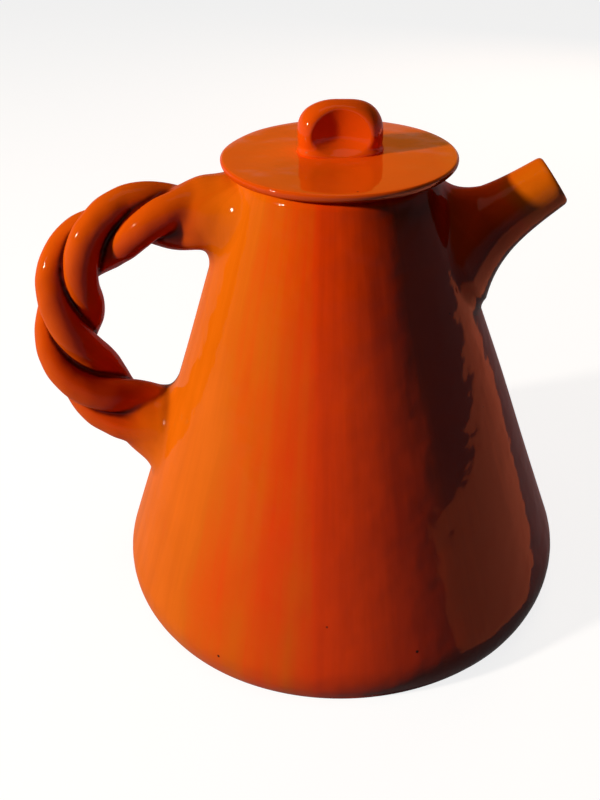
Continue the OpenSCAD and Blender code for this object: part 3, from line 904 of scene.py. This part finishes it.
def makeFloor(look):
    material = bpy.data.materials.new("paleFloor")
    material.use_nodes = True
    tree = material.node_tree
    tree.nodes.clear()
    dim = addNode(tree, "ShaderNodeBsdfDiffuse", {"Color": [look["dim"]] * 3 + [1]}, {})
    pale = addNode(tree, "ShaderNodeBsdfDiffuse", {"Color": [look["lit"]] * 3 + [1]}, {})
    glow = addNode(tree, "ShaderNodeEmission",
                   {"Color": linearHex(look["white"]), "Strength": look["glow"]}, {})
    lit = addNode(tree, "ShaderNodeAddShader", {}, {0: pale.outputs[0], 1: glow.outputs[0]})
    mixed = addNode(tree, "ShaderNodeMixShader", {},
                    {0: seenDirectly(tree), 1: dim.outputs[0], 2: lit.outputs[0]})
    addNode(tree, "ShaderNodeOutputMaterial", {}, {"Surface": mixed.outputs[0]})
    half = look["size"] / 2
    mesh = bpy.data.meshes.new("floor")
    corners = [(-half, -half, 0), (half, -half, 0), (half, half, 0), (-half, half, 0)]
    mesh.from_pydata(corners, [], [(0, 1, 2, 3)])
    mesh.materials.append(material)
    floor = bpy.data.objects.new("floor", mesh)
    scene.collection.objects.link(floor)


makeFloor(floorLook)

lights = {
    "keyLight": {"shape": "DISK", "azimuth": -67.0, "elevation": 25.0, "away": 1.3,
                 "wide": 0.11, "tall": 0.11, "power": 17.5, "colour": "#FFF4E6", "gloss": True},
    "topLight": {"shape": "DISK", "azimuth": -40.0, "elevation": 86.0, "away": 0.9,
                 "wide": 0.5, "tall": 0.5, "power": 0.9, "colour": "#FFF4E6", "gloss": True},
    "sidePanel": {"shape": "RECTANGLE", "azimuth": 155.0, "elevation": 24.0, "away": 0.9,
                  "wide": 0.5, "tall": 0.5, "power": 2.6, "colour": "#FFD8B8", "gloss": False},
}
lampAim = 0.09  # the height they point at
aim = Vector((0, 0, lampAim))
for name, look in lights.items():
    lamp = bpy.data.lights.new(name, "AREA")
    lamp.shape = look["shape"]
    lamp.size, lamp.size_y = look["wide"], look["tall"]
    lamp.energy = look["power"]
    lamp.color = linearHex(look["colour"])[:3]
    swing, lift = math.radians(look["azimuth"] + view["azimuth"]), math.radians(look["elevation"])
    beam = Vector((math.sin(swing) * math.cos(lift), -math.cos(swing) * math.cos(lift), math.sin(lift)))
    lampObject = bpy.data.objects.new(name, lamp)
    lampObject.matrix_world = (Matrix.Translation(aim + beam * look["away"])
                               @ (-beam).to_track_quat("-Z", "Y").to_matrix().to_4x4())
    lampObject.visible_glossy = look["gloss"]  # the side panel fills the far side without a glare on the lid
    scene.collection.objects.link(lampObject)

glossCard = {"x": 0.58, "y": 0.153, "z": 0.002, "turn": 48.0, "wide": 1.07, "deep": 0.45,
             "power": 11.0, "colour": "#FF6E2C"}
card = bpy.data.lights.new("glossCard", "AREA")  # a warm lamp by the spout, seen only in the gloss
card.shape = "RECTANGLE"
card.size, card.size_y = glossCard["wide"], glossCard["deep"]
card.energy = glossCard["power"]
card.color = linearHex(glossCard["colour"])[:3]
cardObject = bpy.data.objects.new("glossCard", card)
cardObject.matrix_world = (Matrix.Translation((glossCard["x"], glossCard["y"], glossCard["z"]))
                           @ Matrix.Rotation(math.radians(glossCard["turn"]), 4, "Z")
                           @ Matrix.Rotation(math.pi, 4, "X"))
cardObject.visible_camera = False
cardObject.visible_diffuse = False
scene.collection.objects.link(cardObject)

roomLook = {"sky": "#D5DDEE", "fill": 0.012,  # a little light from all round
            "horizon": "#F2EFEA", "paleTo": 0.12,  # a pale wall
            "dusk": "#DD9A38", "duskFrom": 0.3}    # a warm ceiling
scene.world = bpy.data.worlds.new("studio")
scene.world.use_nodes = True
tree = scene.world.node_tree
tree.nodes.clear()
outlook = addNode(tree, "ShaderNodeTexCoord", {}, {})
height = addNode(tree, "ShaderNodeSeparateXYZ", {}, {"Vector": outlook.outputs["Generated"]})
backdrop = addNode(tree, "ShaderNodeValToRGB", {}, {"Fac": height.outputs["Z"]})
setStops(backdrop.color_ramp, [(roomLook["paleTo"], roomLook["horizon"]),
                               (roomLook["duskFrom"], roomLook["dusk"])])
sky = addNode(tree, "ShaderNodeBackground",
              {"Color": linearHex(roomLook["sky"]), "Strength": roomLook["fill"]}, {})
wall = addNode(tree, "ShaderNodeBackground", {}, {"Color": backdrop.outputs[0]})
room = addNode(tree, "ShaderNodeMixShader", {},
               {0: seenDirectly(tree), 1: sky.outputs[0], 2: wall.outputs[0]})
addNode(tree, "ShaderNodeOutputWorld", {}, {"Surface": room.outputs[0]})
scene.view_settings.view_transform = "Standard"
print("camera, floor and light set")
